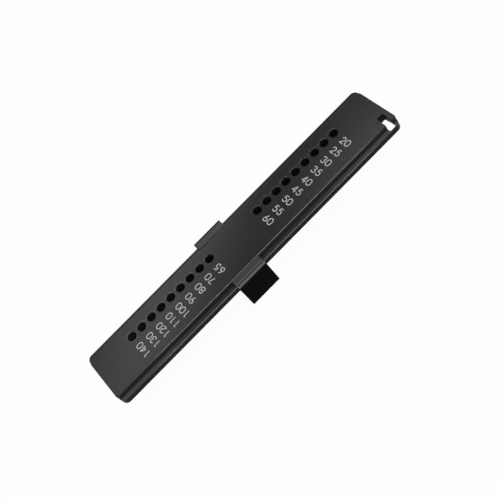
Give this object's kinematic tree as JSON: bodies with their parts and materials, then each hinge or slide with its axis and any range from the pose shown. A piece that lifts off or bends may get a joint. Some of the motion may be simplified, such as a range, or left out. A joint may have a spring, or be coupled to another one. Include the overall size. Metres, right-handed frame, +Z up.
{
  "type": "gutta-percha gauge",
  "caption": "Flat black bar with a row of calibrated holes for sizing gutta-percha points, and a slider round it that carries a blade and a thumb tab.",
  "frame": {"origin": "centre of the bounding box, on the surface that the gauge lies on", "axes": "+X along the bar towards the end with the hanging slot, +Y away from the thumb tab, +Z up; the gauge lies on the tab's lower edge and the slider's far lower bend, so its top face leans towards +Y"},
  "size_m": [0.09, 0.0206, 0.0078],
  "materials": {
    "bar": "black anodised, satin",
    "slider": "black anodised, satin, a little lighter than the bar",
    "tab": "smooth black",
    "steel": "ground"
  },
  "bodies": {
    "gauge_bar": {"gauge_bar": "bar", "stop_pin_low": "steel", "stop_pin_high": "steel"},
    "slider": {"slider": "slider", "thumb_tab": "tab", "blade": "steel", "blade_rivet_near": "steel", "blade_rivet_far": "steel"}
  },
  "joints": [
    {"name": "slider_travel", "type": "slide", "parent": "gauge_bar", "child": "slider", "axis": [1, 0, 0], "range_m": [-0.03479, 0.04271]}
  ]
}
